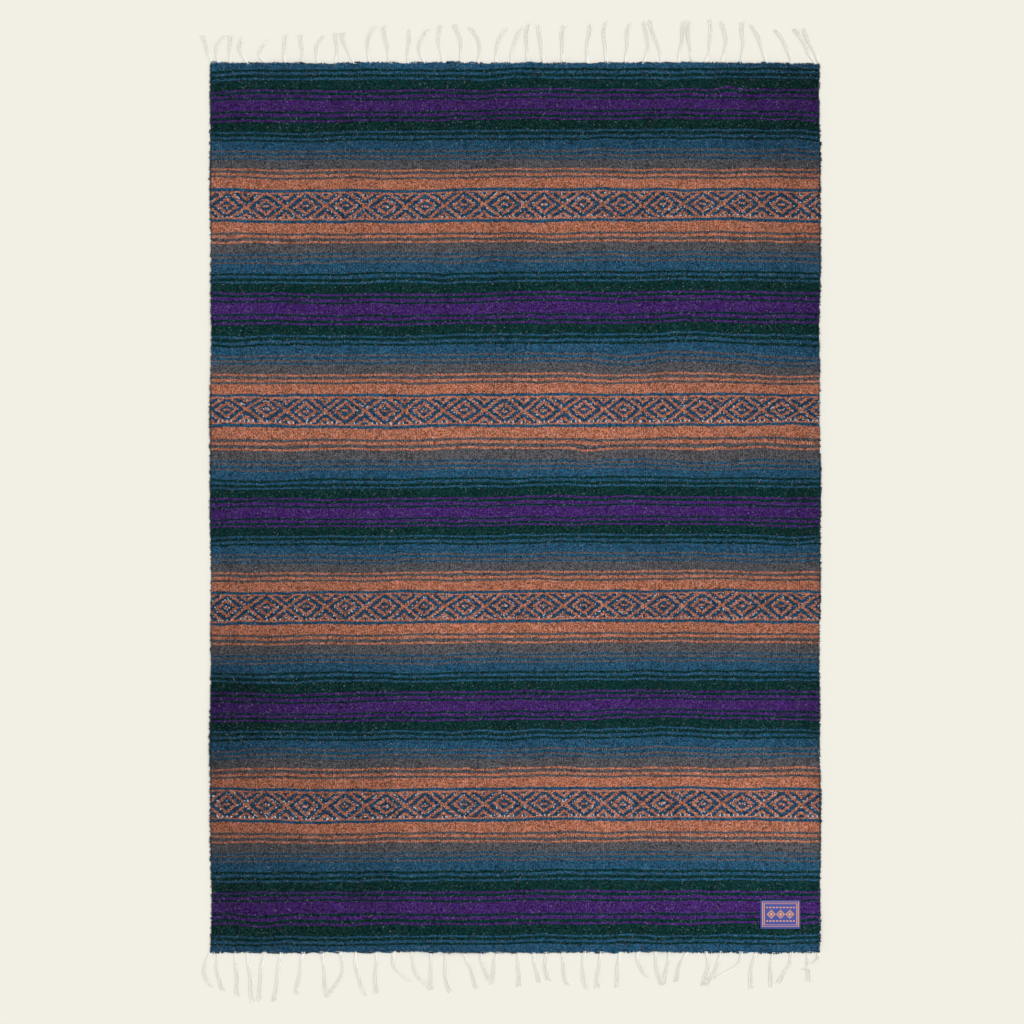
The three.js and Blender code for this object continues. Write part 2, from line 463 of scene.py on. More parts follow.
def woven_cloth_material():
    """Weft-faced plain weave of heathered yarn, matte and a little fuzzy. Each pick shows as short
    bricks over the warp, staggered from one to the next, so the stripes' edges are comb-like."""
    material, tree = new_material("weft-faced falsa weave, recycled mixed-fibre yarn")
    place = add(tree, "ShaderNodeUVMap", {"uv_map": "weave"})
    parts = add(tree, "ShaderNodeSeparateXYZ", (), {0: place})
    ends = parts.outputs[0]

    # The thread wanders by a fraction of a pick over a few ends
    wander_map = add(tree, "ShaderNodeMapping", {"Scale": (0.22, 0.11, 1)}, {0: place})
    wander = add(tree, "ShaderNodeTexNoise",
                 {"noise_dimensions": "2D", "Scale": 1.0, "Detail": 1.0}, {"Vector": wander_map})
    wander = add(tree, "ShaderNodeMapRange", {"To Min": -WANDER, "To Max": WANDER},
                 {"Value": wander})
    picks = add(tree, "ShaderNodeMath", {"operation": "ADD"}, {0: wander, 1: parts.outputs[1]})

    # Bricks: the half end's number, odd or even, and the pick that shows there
    end_number = add(tree, "ShaderNodeMath", {"operation": "FLOOR"}, {0: ends})
    half_ends = add(tree, "ShaderNodeMath", {"operation": "MULTIPLY", 1: 2.0}, {0: ends})
    half_number = add(tree, "ShaderNodeMath", {"operation": "FLOOR"}, {0: half_ends})
    odd = add(tree, "ShaderNodeMath", {"operation": "FLOORED_MODULO", 1: 2.0}, {0: half_number})
    staggered = add(tree, "ShaderNodeMath", {"operation": "MULTIPLY_ADD", 1: STAGGER},
                    {0: odd, 2: picks})
    shown_pick = add(tree, "ShaderNodeMath", {"operation": "FLOOR"}, {0: staggered})
    brick = add(tree, "ShaderNodeCombineXYZ", (), {0: half_number, 1: shown_pick})
    chance = add(tree, "ShaderNodeTexWhiteNoise", {"noise_dimensions": "2D"}, {"Vector": brick})
    chances = add(tree, "ShaderNodeSeparateColor", (), {0: chance.outputs["Color"]})

    # Stripes: the pick, a little up or down from brick to brick as the weave has it, folded
    # back at each purple middle and each diamond middle
    comb = add(tree, "ShaderNodeMath",
               {"operation": "MULTIPLY_ADD", 1: COMB_ODD, 2: COMB_START}, {0: odd})
    comb = add(tree, "ShaderNodeMath", {"operation": "MULTIPLY_ADD", 1: COMB_CHANCE},
               {0: chances.outputs[0], 2: comb})
    comb_pick = add(tree, "ShaderNodeMath", {"operation": "ADD"}, {0: picks, 1: comb})
    folded = add(tree, "ShaderNodeMath", {"operation": "PINGPONG", 1: HALF_REPEAT}, {0: comb_pick})
    share = add(tree, "ShaderNodeMath", {"operation": "DIVIDE", 1: HALF_REPEAT}, {0: folded})
    stripes = add(tree, "ShaderNodeValToRGB", (), {0: share})
    ramp = stripes.color_ramp
    ramp.interpolation = "CONSTANT"
    counted = 0
    for number, (width, yarn) in enumerate(STRIPES):
        stop = ramp.elements[0] if number == 0 else ramp.elements.new(counted / HALF_REPEAT)
        stop.color = linear(yarn)
        counted += width
    ramp.elements.remove(ramp.elements[-1])

    # Diamonds: diagonals that climb from the middle, blue and orange by turns, by whole ends
    # and picks
    whole_pick = add(tree, "ShaderNodeMath", {"operation": "FLOOR"}, {0: picks})
    band_pick = add(tree, "ShaderNodeMath", {"operation": "ADD", 1: 0.5}, {0: whole_pick})
    in_repeat = add(tree, "ShaderNodeMath", {"operation": "FLOORED_MODULO", 1: 2 * HALF_REPEAT},
                    {0: band_pick})
    rows_down = add(tree, "ShaderNodeMath", {"operation": "SUBTRACT", 1: HALF_REPEAT},
                    {0: in_repeat})
    rows_out = add(tree, "ShaderNodeMath", {"operation": "ABSOLUTE"}, {0: rows_down})
    from_first = add(tree, "ShaderNodeMath",
                     {"operation": "SUBTRACT", 1: DIAMOND_FIRST_END - 0.5}, {0: end_number})
    ends_out = add(tree, "ShaderNodeMath", {"operation": "PINGPONG", 1: DIAMOND_HALF_WIDTH},
                   {0: from_first})
    climb = add(tree, "ShaderNodeMath", {"operation": "MULTIPLY_ADD", 1: DIAMOND_SLOPE},
                {0: ends_out, 2: rows_out})
    lines = add(tree, "ShaderNodeMath", {"operation": "SUBTRACT", 1: LINE_START}, {0: climb})
    line_share = add(tree, "ShaderNodeMath", {"operation": "FLOORED_MODULO", 1: LINE_PERIOD},
                     {0: lines})
    is_orange = add(tree, "ShaderNodeMath",
                    {"operation": "GREATER_THAN", 1: LINE_PERIOD * LINE_SHARE}, {0: line_share})
    dash_ends = add(tree, "ShaderNodeMath", {"operation": "LESS_THAN", 1: DASH_HALF_WIDTH},
                    {0: ends_out})
    dash_rows = add(tree, "ShaderNodeMath", {"operation": "LESS_THAN", 1: DASH_HALF_HEIGHT},
                    {0: rows_out})
    dash = add(tree, "ShaderNodeMath", {"operation": "MULTIPLY"}, {0: dash_ends, 1: dash_rows})
    orange_there = add(tree, "ShaderNodeMath", {"operation": "MAXIMUM"}, {0: is_orange, 1: dash})
    diamonds = add(tree, "ShaderNodeMix",
                   {"data_type": "RGBA", 6: linear(DIAMOND_BLUE), 7: linear(DIAMOND_ORANGE)},
                   {0: orange_there})
    in_band = add(tree, "ShaderNodeMath", {"operation": "LESS_THAN", 1: DIAMOND_HALF_HEIGHT},
                  {0: rows_out})
    pattern = add(tree, "ShaderNodeMix", {"data_type": "RGBA"},
                  {0: in_band, 6: stripes, 7: diamonds.outputs[2]})

    # Heather: each brick has its own lightness, with longer streaks along the yarn and fibres
    streak_map = add(tree, "ShaderNodeMapping", {"Scale": (0.16, 0.5, 1)}, {0: place})
    streak = add(tree, "ShaderNodeTexNoise",
                 {"noise_dimensions": "2D", "Scale": 1.0, "Detail": 2.0}, {"Vector": streak_map})
    # Fibres are drawn about five times coarser than real ones, so that they show
    fibre_map = add(tree, "ShaderNodeMapping", {"Scale": (4.0, 2.6, 1)}, {0: place})
    fibre = add(tree, "ShaderNodeTexNoise",
                {"noise_dimensions": "2D", "Scale": 1.0, "Detail": 2.0}, {"Vector": fibre_map})
    light_brick = add(tree, "ShaderNodeMapRange", {"To Min": 0.31, "To Max": 1.69},
                      {"Value": chances.outputs[0]})
    light_streak = add(tree, "ShaderNodeMapRange",
                       {"From Min": 0.25, "From Max": 0.75, "To Min": 0.84, "To Max": 1.16},
                       {"Value": streak})
    light_fibre = add(tree, "ShaderNodeMapRange",
                      {"From Min": 0.25, "From Max": 0.75, "To Min": 0.4, "To Max": 1.6},
                      {"Value": fibre})

    # Each brick is a small dome, with painted shade that darkens its colour towards the grooves
    # between ends and between picks, and is lightest on its top
    hollows = []
    for count in (half_ends, staggered):
        share = add(tree, "ShaderNodeMath", {"operation": "FRACT"}, {0: count})
        beside = add(tree, "ShaderNodeMath", {"operation": "SUBTRACT", 1: 0.5}, {0: share})
        hollows.append(add(tree, "ShaderNodeMath", {"operation": "MULTIPLY"},
                           {0: beside, 1: beside}))
    hollow = add(tree, "ShaderNodeMath", {"operation": "ADD"}, dict(enumerate(hollows)))
    dome = add(tree, "ShaderNodeMapRange",
               {"From Min": 0.5, "From Max": 0.0, "To Min": 0.0, "To Max": 1.0},
               {"Value": hollow})
    painted_groove_shade = add(tree, "ShaderNodeMapRange",
                 {"From Min": 0.0, "From Max": 0.8, "To Min": 0.4, "To Max": 1.16},
                 {"Value": dome})
    # Ribs: painted light and shade, a little lighter over each warp end and darker between the
    # ends
    rib_turn = add(tree, "ShaderNodeMath", {"operation": "MULTIPLY", 1: 2 * math.pi}, {0: ends})
    rib_wave = add(tree, "ShaderNodeMath", {"operation": "SINE"}, {0: rib_turn})
    painted_rib_shade = add(tree, "ShaderNodeMath", {"operation": "MULTIPLY_ADD", 1: RIB_PAINTED_SHADE, 2: 1.0},
              {0: rib_wave})
    # The tone attribute: the cloth's tone with painted light and shade, as a factor of its
    # lightness
    tones_and_painted_light = add(tree, "ShaderNodeAttribute", {"attribute_name": "tone_and_painted_light"})
    lightness = light_brick
    for factor in (light_streak, light_fibre, painted_groove_shade, painted_rib_shade, tones_and_painted_light.outputs["Fac"]):
        lightness = add(tree, "ShaderNodeMath", {"operation": "MULTIPLY"},
                        {0: lightness, 1: factor})
    lively = add(tree, "ShaderNodeMapRange", {"To Min": 0.83, "To Max": 1.17},
                 {"Value": chances.outputs[1]})
    yarn = add(tree, "ShaderNodeHueSaturation", (),
               {"Color": pattern.outputs[2], "Value": lightness, "Saturation": lively})

    # Pale fibres of the recycled yarn: a trace in every brick, and a tuft on the dome of a few
    trace = add(tree, "ShaderNodeMath", {"operation": "POWER", 1: TRACE_POWER},
                {0: chances.outputs[1]})
    trace = add(tree, "ShaderNodeMath", {"operation": "MULTIPLY"}, {0: trace, 1: fibre})
    trace = add(tree, "ShaderNodeMath", {"operation": "MULTIPLY", 1: TRACE}, {0: trace})
    tuft = add(tree, "ShaderNodeMapRange",
               {"From Min": NO_TUFT, "From Max": 1.0, "To Min": 0.0, "To Max": TUFT},
               {"Value": chances.outputs[2]})
    tuft = add(tree, "ShaderNodeMath", {"operation": "MULTIPLY"}, {0: tuft, 1: dome})

    # The pale cotton warp shows between the bricks of the diamonds, in dots along the outlines
    # and most along their lower edge
    line_dot = add(tree, "ShaderNodeMath", {"operation": "GREATER_THAN", 1: NO_DOT},
                   {0: chances.outputs[2]})
    line_edge = add(tree, "ShaderNodeMath", {"operation": "LESS_THAN", 1: DOT_EDGE},
                    {0: line_share})
    for condition in (line_edge, in_band):
        line_dot = add(tree, "ShaderNodeMath", {"operation": "MULTIPLY"},
                       {0: line_dot, 1: condition})
    row_dot = add(tree, "ShaderNodeMath", {"operation": "COMPARE", 1: PALE_ROW, 2: PALE_ROW_HALF},
                  {0: rows_down})
    every_other = add(tree, "ShaderNodeMath", {"operation": "FLOORED_MODULO", 1: 2.0},
                      {0: end_number})
    column = add(tree, "ShaderNodeTexWhiteNoise", {"noise_dimensions": "1D"}, {"W": end_number})
    shows = add(tree, "ShaderNodeMath", {"operation": "GREATER_THAN", 1: NO_ROW_DOT},
                {0: column.outputs["Value"]})
    for condition in (every_other, shows, odd):
        row_dot = add(tree, "ShaderNodeMath", {"operation": "MULTIPLY"},
                      {0: row_dot, 1: condition})
    dots = add(tree, "ShaderNodeMath", {"operation": "MAXIMUM"}, {0: line_dot, 1: row_dot})
    pale_share = add(tree, "ShaderNodeMath", {"operation": "MULTIPLY", 1: DOT}, {0: dots})
    for share in (tuft, trace):
        pale_share = add(tree, "ShaderNodeMath", {"operation": "MAXIMUM"},
                         {0: pale_share, 1: share})
    flecked = add(tree, "ShaderNodeMix", {"data_type": "RGBA", 7: linear(PALE_FIBRE)},
                  {0: pale_share, 6: yarn})

    # The outermost end is wrapped by the dark yarns carried up the selvedge
    from_middle = add(tree, "ShaderNodeMath", {"operation": "SUBTRACT", 1: ENDS_ACROSS / 2},
                      {0: ends})
    from_middle = add(tree, "ShaderNodeMath", {"operation": "ABSOLUTE"}, {0: from_middle})
    at_selvedge = add(tree, "ShaderNodeMapRange",
                      {"From Min": ENDS_ACROSS / 2 - 1.0, "From Max": ENDS_ACROSS / 2 - 0.3,
                       "To Min": 0.0, "To Max": 0.8}, {"Value": from_middle})
    cloth = add(tree, "ShaderNodeMix", {"data_type": "RGBA", 7: linear(CARRIED)},
                {0: at_selvedge, 6: flecked.outputs[2]})

    relief = add(tree, "ShaderNodeMath", {"operation": "MULTIPLY_ADD", 1: FIBRE_RELIEF},
                 {0: fibre, 2: dome})
    bump = add(tree, "ShaderNodeBump", {"Strength": 0.7, "Distance": 0.9 * MM},
               {"Height": relief})
    shader = add(tree, "ShaderNodeBsdfPrincipled",
                 {"Roughness": 0.95, "IOR": 1.45, "Specular IOR Level": 0.05},
                 {"Base Color": cloth.outputs[2], "Normal": bump})
    add(tree, "ShaderNodeOutputMaterial", (), {"Surface": shader})
    return material


cloth_material = woven_cloth_material()

across = edge_spaced(PANEL_COLUMNS, CLOTH_WIDTH, WALL / 2)
along = edge_spaced(PANEL_ROWS, CLOTH_LENGTH, WALL / 2)
across_grid, along_grid = np.meshgrid(across, along)
panel_x, panel_y = cloth_plan(across_grid * (1 - 2 * TRIM / CLOTH_WIDTH),
                              along_grid * (1 - 2 * TRIM / CLOTH_LENGTH))
rounding = edge_rounding(across_grid, along_grid, CLOTH_WIDTH, CLOTH_LENGTH, WALL)
rest_height = lift(panel_x, panel_y)
upper_z = rest_height + WALL / 2 * (1 + rounding) + cockle(panel_x, panel_y) * rounding
lower_z = rest_height + WALL / 2 * (1 - rounding)
plan_middle = [(part.max() + part.min()) / 2 for part in (panel_x, panel_y)]
cad_shift = CLOTH_MIDDLE - plan_middle


def in_frame(x, y, z):
    """Points of the cloth's own plan, moved to where the solid lies in the row frame."""
    return np.stack(np.broadcast_arrays(x + cad_shift[0], y + cad_shift[1], z), -1)


panel, grid_point = closed_shell("woven_panel_cloth", in_frame(panel_x, panel_y, upper_z),
                                 in_frame(panel_x, panel_y, lower_z), cloth_material)
grid_corner = grid_point[face_corners(panel)]
ends_at, picks_at = weave_place(panel_x, panel_y)
give_uv(panel, "weave", ends_at.ravel()[grid_corner], picks_at.ravel()[grid_corner])
give_value(panel, "tone_and_painted_light", tone_and_painted_light(panel_x, panel_y).ravel()[grid_point])
# A second map: the warp along u, the upper face on three fifths of v and the underside above it,
# past a narrow gap
UPPER_SHARE, UNDER_START, UNDER_SHARE = 0.60, 0.61, 0.39
is_under = np.arange(len(grid_corner)) >= len(grid_corner) // 2
across_share = (across_grid.ravel()[grid_corner] + 1) / 2
give_uv(panel, "OFBake", (along_grid.ravel()[grid_corner] + 1) / 2,
        np.where(is_under, UNDER_START + UNDER_SHARE * across_share, UPPER_SHARE * across_share))
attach(panel, "root")
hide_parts("woven_panel")

# ---------------------------------------------------------------------------------------------
# The selvedges: each weft pick turns back round the outermost warp end, so both long sides are
# rows of small uneven loops, mostly of the dark yarn that is carried up the side.
# ---------------------------------------------------------------------------------------------
LOOP_PITCH = 4.18 * MM  # two picks
LOOP_RADIUS = 1.15 * MM
LOOP_REACH = 2.6 * MM  # how far in from the edge a loop starts
LOOP_STEPS, LOOP_SIDES = 7, 4
LOOP_COUNT = round(CLOTH_LENGTH / LOOP_PITCH) - 2
FIRST_END = 0.35  # the end whose colour a selvedge loop has, counted in from the edge


def tubes(paths, radii, sides, reference):
    """Round tubes along paths (tubes, steps, 3): a ring of that radius about each point, square
    to the path, with its first side along the cross product of the path and the reference.
    Each end is closed by flat quads. Returns the points and the faces of them all."""
    count, steps = radii.shape
    along_path = np.gradient(paths, axis=1)
    along_path /= np.linalg.norm(along_path, axis=-1, keepdims=True)
    side = np.cross(along_path, reference)
    side /= np.linalg.norm(side, axis=-1, keepdims=True)
    other = np.cross(side, along_path)
    angle = np.arange(sides) * 2 * np.pi / sides
    ring = (np.cos(angle)[:, None] * side[..., None, :]
            + np.sin(angle)[:, None] * other[..., None, :])
    points = paths[..., None, :] + radii[..., None, None] * ring
    at = np.arange(count * steps * sides).reshape(count, steps, sides)
    after = np.roll(at, -1, axis=2)
    walls = np.stack([at[:, :-1], at[:, 1:], after[:, 1:], after[:, :-1]], -1).reshape(-1, 4)
    caps = [at[:, 0][:, [0, k, k + 1, k + 2]] for k in range(1, sides - 2, 2)]
    caps += [at[:, -1][:, [k + 2, k + 1, k, 0]] for k in range(1, sides - 2, 2)]
    return points.reshape(-1, 3), np.concatenate([walls] + caps)


def turned_loops(edge_x, edge_y, outward, sideways, reach, radius, slant):
    """Half loops round an edge: from the upper face, reach inside the edge, out round it and
    back under, an ellipse in the plane of the outward direction and up, leaning by slant."""
    turn = np.linspace(-0.5, 0.5, LOOP_STEPS) * np.pi
    out = np.cos(turn) * (reach[:, None] + 0.4 * radius[:, None]) - reach[:, None]
    lean = slant[:, None] * np.sin(turn)
    x = edge_x[:, None] + outward[0] * out + sideways[0] * lean
    y = edge_y[:, None] + outward[1] * out + sideways[1] * lean
    half = (WALL / 2 - radius[:, None] * 0.55) * np.sin(-turn)
    z = lift(x, y) + WALL / 2 + half
    # A loop kept off the floor still falls a little at each step, so that it has a direction
    lowest = radius[:, None] + (0.05 + 0.01 * np.arange(LOOP_STEPS)[::-1]) * MM
    return in_frame(x, y, np.maximum(z, lowest))


def looped_edges(name, loops, reference):
    """A piece of loops, from the paths, radii, ends, picks and tones of each side; the tones carry
    the cloth's painted light and shade. Every point of a loop has the loop's own place in the
    weave, and its tone."""
    paths, radii, ends, picks, tones_and_painted_light = (np.concatenate(part) for part in zip(*loops))
    points, faces = tubes(paths, radii[:, None] * np.ones(LOOP_STEPS), LOOP_SIDES,
                          np.array(reference))
    piece = new_piece(name, points, faces, cloth_material)
    loop = np.arange(len(points)) // (LOOP_STEPS * LOOP_SIDES)
    loop_corner = loop[face_corners(piece)]
    give_uv(piece, "weave", ends[loop_corner], picks[loop_corner])
    give_value(piece, "tone_and_painted_light", tones_and_painted_light[loop])
    return piece


selvedge_sides = []
for side in (-1, 1):
    draw = np.random.default_rng(41 + side)
    step = np.linspace(-1, 1, LOOP_COUNT) * (1 - 3 * MM / CLOTH_LENGTH)
    edge_x, edge_y = cloth_plan(np.full(LOOP_COUNT, side), step)
    radius = LOOP_RADIUS * draw.uniform(0.72, 1.12, LOOP_COUNT)
    ragged = 0.6 * unevenness(edge_x * 0, edge_y, (1, 13 * MM), 43 + side)
    ragged = np.clip(ragged + draw.uniform(-1.0, 0.6, LOOP_COUNT), -2.4, 1.2)
    dropped = draw.random(LOOP_COUNT) < 0.07
    edge_x = edge_x + side * np.where(dropped, -2.6, ragged) * MM
    edge_y = edge_y + draw.normal(0, 0.35, LOOP_COUNT) * MM
    slant = draw.uniform(0.2, 1.3, LOOP_COUNT) * MM
    reach = LOOP_REACH * draw.uniform(0.7, 1.2, LOOP_COUNT)
    paths = turned_loops(edge_x, edge_y, (side, 0), (0, 1), reach, radius, slant)
    first_end = FIRST_END if side < 0 else ENDS_ACROSS - FIRST_END
    # Two loops in five are less dark than the carried yarns, as the next warp end inwards is
    ends = first_end - side * draw.choice([0.0, 0.45], LOOP_COUNT, p=[0.6, 0.4])
    picks = weave_place(edge_x, edge_y)[1]
    # Each loop takes the cloth's tone with its painted light and shade, a little lighter or darker
    # at random
    tones_and_painted_light = tone_and_painted_light(edge_x, edge_y) * draw.uniform(0.7, 1.25, LOOP_COUNT)
    selvedge_sides.append((paths, radius, ends, picks, tones_and_painted_light))
selvedges = looped_edges("selvedge_loops", selvedge_sides, (0.0, 1.0, 0.0))
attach(selvedges, "root")

# ---------------------------------------------------------------------------------------------
# The end picks: the last weft at each end is wrapped round the warp ends, in small lumps that
# stand a little further out in some places than in others.
# ---------------------------------------------------------------------------------------------
END_COUNT = round(CLOTH_WIDTH / END_PITCH) - 1
end_sides = []
for side in (-1, 1):
    draw = np.random.default_rng(51 + side)
    step = np.linspace(-1, 1, END_COUNT) * (1 - 4 * MM / CLOTH_WIDTH)
    edge_x, edge_y = cloth_plan(step, np.full(END_COUNT, side))
    radius = LOOP_RADIUS * draw.uniform(0.8, 1.3, END_COUNT)
    scallop = 0.9 * unevenness(edge_x, edge_y * 0, (30 * MM, 1), 52 + side)
    scallop = scallop + draw.uniform(-0.9, 0.9, END_COUNT)
    edge_y = edge_y + side * np.clip(scallop, -2.2, 1.6) * MM
    edge_x = edge_x + draw.normal(0, 0.5, END_COUNT) * MM
    slant = draw.uniform(0.6, 2.0, END_COUNT) * MM
    reach = LOOP_REACH * draw.uniform(0.7, 1.3, END_COUNT)
    paths = turned_loops(edge_x, edge_y, (0, side), (1, 0), reach, radius, slant)
    ends, picks = weave_place(edge_x, edge_y)
    # Each lump takes the cloth's tone with its painted light and shade, a little lighter or darker
    # at random
    tones_and_painted_light = tone_and_painted_light(edge_x, edge_y) * draw.uniform(0.75, 1.3, END_COUNT)
    end_sides.append((paths, radius, ends, picks, tones_and_painted_light))
end_picks = looped_edges("end_picks", end_sides, (1.0, 0.0, 0.0))
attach(end_picks, "root")

# ---------------------------------------------------------------------------------------------
# The fringes: the cotton warp, left unwoven past each end, drawn together in loosely twisted
# bundles of a few yarns and cut. Each bundle lies on the floor as it fell, frayed at its tip.
# ---------------------------------------------------------------------------------------------
YARN_RADIUS = 0.75 * MM
THICKEST_YARN = 1.1  # times the usual radius
BUNDLE_HALF_WIDTH = 3.5 * MM  # from the middle of a bundle to its outer yarns, on the floor
BUNDLE_HALF_HEIGHT = 0.75 * MM
YARNS = 9
YARN_STEPS, YARN_SIDES = 14, 4
TWIST_PITCH = 75 * MM
TIGHT, LOOSENING = 0.75, 0.55  # a bundle's width at its base, and what it gains to its tip
TUCK = 2.2 * MM  # how far inside the cloth's end the yarns start
BASE_SPREAD, TIP_SPREAD = 4.5 * MM, 2.0 * MM  # of the yarns beside each other, at both ends
FRAYED_FROM = 0.75  # of the way to the tip
FRAYED_THINNING = 0.45  # how much thinner a yarn is at its frayed tip
CURL = 1.2 * MM  # how far a bundle strays from its bend
YARN_MAP_STEP = 3.2 * MM  # length of yarn between two rings in its map
YARN_MAP_TURN = 1.7  # and how far round each next yarn starts

# Where each bundle leaves the cloth, and its middle and tip (mm from the middle of the cloth),
# and how far its tip lies from the end of the cloth
TOP_BUNDLES = np.array([
    # base, mid, tip, reach
    (-646, -655, -666, 56), (-629, -636, -619, 58), (-605, -607, -606, 60),
    (-567, -585, -581, 56), (-530, -544, -525, 49), (-489, -492, -487, 61),
    (-455, -453, -459, 61), (-417, -423, -408, 60), (-382, -379, -383, 66),
    (-342, -359, -369, 66), (-307, -314, -299, 78), (-265, -273, -279, 78),
    (-227, -227, -223, 72), (-190, -203, -183, 71), (-151, -161, -160, 79),
    (-117, -115, -129, 81), (-81, -75, -95, 74), (-40, -37, -20, 76),
    (-7, -3, 16, 76), (28, 25, 28, 84), (63, 55, 50, 81), (104, 100, 104, 80),
    (154, 155, 161, 84), (196, 191, 192, 87), (237, 239, 242, 83), (274, 283, 273, 88),
    (313, 302, 283, 91), (348, 355, 360, 88), (380, 371, 371, 90), (406, 417, 414, 90),
    (440, 449, 440, 89), (482, 486, 482, 89), (534, 524, 503, 81), (588, 579, 553, 71),
    (639, 619, 597, 74), (648, 632, 611, 76),
])
BOTTOM_BUNDLES = np.array([
    # base, mid, tip, reach
    (-646, -662, -648, 72), (-631, -634, -622, 82), (-597, -593, -592, 92),
    (-570, -565, -560, 106), (-534, -542, -545, 102), (-498, -506, -513, 103),
    (-451, -459, -467, 91), (-411, -406, -401, 95), (-374, -369, -398, 91),
    (-338, -336, -318, 91), (-297, -296, -297, 88), (-256, -256, -222, 64),
    (-217, -213, -182, 80), (-181, -178, -181, 81), (-147, -148, -142, 85),
    (-110, -94, -82, 76), (-71, -67, -49, 67), (-37, -45, -48, 67), (7, 8, 8, 72),
    (39, 44, 51, 63), (66, 65, 71, 60), (102, 104, 111, 71), (150, 144, 154, 79),
    (185, 178, 176, 77), (222, 219, 215, 75), (262, 264, 283, 54), (299, 302, 312, 70),
    (328, 325, 313, 70), (367, 351, 342, 62), (406, 411, 396, 70), (441, 428, 406, 72),
    (481, 472, 419, 57), (514, 504, 501, 76), (550, 545, 544, 72), (589, 581, 558, 65),
    (625, 624, 627, 62), (645, 641, 613, 38),
])
# The second colour is painted shade for the creases between the yarn's fibres
COTTON, COTTON_PAINTED_CREASE_SHADE = "#fdfcf7", "#f7f6f1"


def cotton_material():
    """Undyed cotton warp yarn, softly spun and a little hairy: matte, off-white, with painted
    shade, slightly darker, in the creases between its fibres, which run round it in a slow spiral."""
    material, tree = new_material("undyed cotton warp yarn, soft spun")
    place = add(tree, "ShaderNodeUVMap", {"uv_map": "yarn"})
    # Strands are drawn twice as coarse as real ones, so that they show
    spiral = add(tree, "ShaderNodeMapping", {"Scale": (3.0, 420.0, 1)}, {0: place})
    strands = add(tree, "ShaderNodeTexNoise",
                  {"noise_dimensions": "2D", "Scale": 1.0, "Detail": 3.0}, {"Vector": spiral})
    shade = add(tree, "ShaderNodeValToRGB", (), {0: strands})
    for stop, (place_on_ramp, colour) in zip(shade.color_ramp.elements,
                                             ((0.3, COTTON_PAINTED_CREASE_SHADE), (0.7, COTTON))):
        stop.position = place_on_ramp
        stop.color = linear(colour)
    bump = add(tree, "ShaderNodeBump", {"Strength": 0.5, "Distance": 0.4 * MM},
               {"Height": strands})
    shader = add(tree, "ShaderNodeBsdfPrincipled",
                 {"Roughness": 0.9, "IOR": 1.45, "Sheen Weight": 0.08, "Sheen Roughness": 0.5},
                 {"Base Color": shade, "Normal": bump})
    add(tree, "ShaderNodeOutputMaterial", (), {"Surface": shader})
    return material


cotton = cotton_material()


def bundle_yarns(bundles, side, seed):
    """The yarns of a row of bundles. A bundle's middle line is a parabola through its base, its
    middle and its tip, with a slow curl. Its yarns circle that line once a twist pitch, wider
    towards the tip. They start spread out along the cloth's end, and over the last part they
    fan out, thin and drop to the floor, ending unevenly."""
    draw = np.random.default_rng(seed)
    count = len(bundles)
    base, mid, tip, reach = (bundles * MM).T[:, :, None, None]
    length = draw.uniform(0.93, 1.03, (count, YARNS, 1))
    t = np.linspace(0, 1, YARN_STEPS) * length
    bend = t * (1 - t) * 4
    x = base + (tip - base) * t + (mid - (base + tip) / 2) * bend
    edge_y = cloth_plan(base / (CLOTH_WIDTH / 2), np.full(base.shape, side))[1]
    y = edge_y + side * ((reach + TUCK) * t - TUCK)
    wander = draw.uniform(0, 2 * np.pi, (count, 1, 2))
    x = x + CURL * np.sin(t * 9 + wander[..., :1]) * np.minimum(t * 4, 1)
    angle = 2 * np.pi * (np.arange(YARNS)[:, None] / (YARNS - 1) + reach * t / TWIST_PITCH
                         + draw.random((count, 1, 1)))
    from_middle = np.where(np.arange(YARNS)[:, None] == 0, 0.15, 1.0)
    gather = np.exp(-t * 9)
    fan = np.clip((t - FRAYED_FROM) / (1 - FRAYED_FROM), 0, 1) ** 1.5
    spread_base = draw.uniform(-BASE_SPREAD, BASE_SPREAD, (count, YARNS, 1))
    spread_tip = draw.normal(0, TIP_SPREAD, (count, YARNS, 1))
    loose = TIGHT + LOOSENING * t
    beside = BUNDLE_HALF_WIDTH * loose * from_middle * np.cos(angle) * (1 - gather)
    x = x + beside + spread_base * gather + spread_tip * fan
    settle = np.maximum(gather, fan)
    height = BUNDLE_HALF_HEIGHT * (1 + from_middle * np.sin(angle)) * (1 - settle)
    height = height + YARN_RADIUS * THICKEST_YARN
    cloth_top = lift(base, edge_y) + WALL
    height = height + (cloth_top * 0.35) * np.exp(-t * 14)
    radius = (YARN_RADIUS * (1 - FRAYED_THINNING * fan)
              * draw.uniform(0.85, THICKEST_YARN, (count, YARNS, 1)))
    paths = in_frame(x, y, height).reshape(count * YARNS, YARN_STEPS, 3)
    return paths, radius.reshape(count * YARNS, YARN_STEPS)


FRINGES = (("fringe_top", TOP_BUNDLES, 1), ("fringe_bottom", BOTTOM_BUNDLES, -1))
for name, bundles, side in FRINGES:
    yarn_paths, yarn_radii = bundle_yarns(bundles, side, 61 + side)
    points, faces = tubes(yarn_paths, yarn_radii, YARN_SIDES, np.array([0.0, 0.0, 1.0]))
    fringe = new_piece(name + "_yarns", points, faces, cotton)
    # The yarn's map: round it along u and its length along v, each yarn on a part of its own
    which, ring, turn = np.indices((len(yarn_paths), YARN_STEPS, YARN_SIDES)).reshape(3, -1)
    corners = face_corners(fringe)
    give_uv(fringe, "yarn", (turn / YARN_SIDES + which * YARN_MAP_TURN)[corners],
            (ring * YARN_MAP_STEP + which)[corners])
    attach(fringe, "root")
    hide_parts(name)

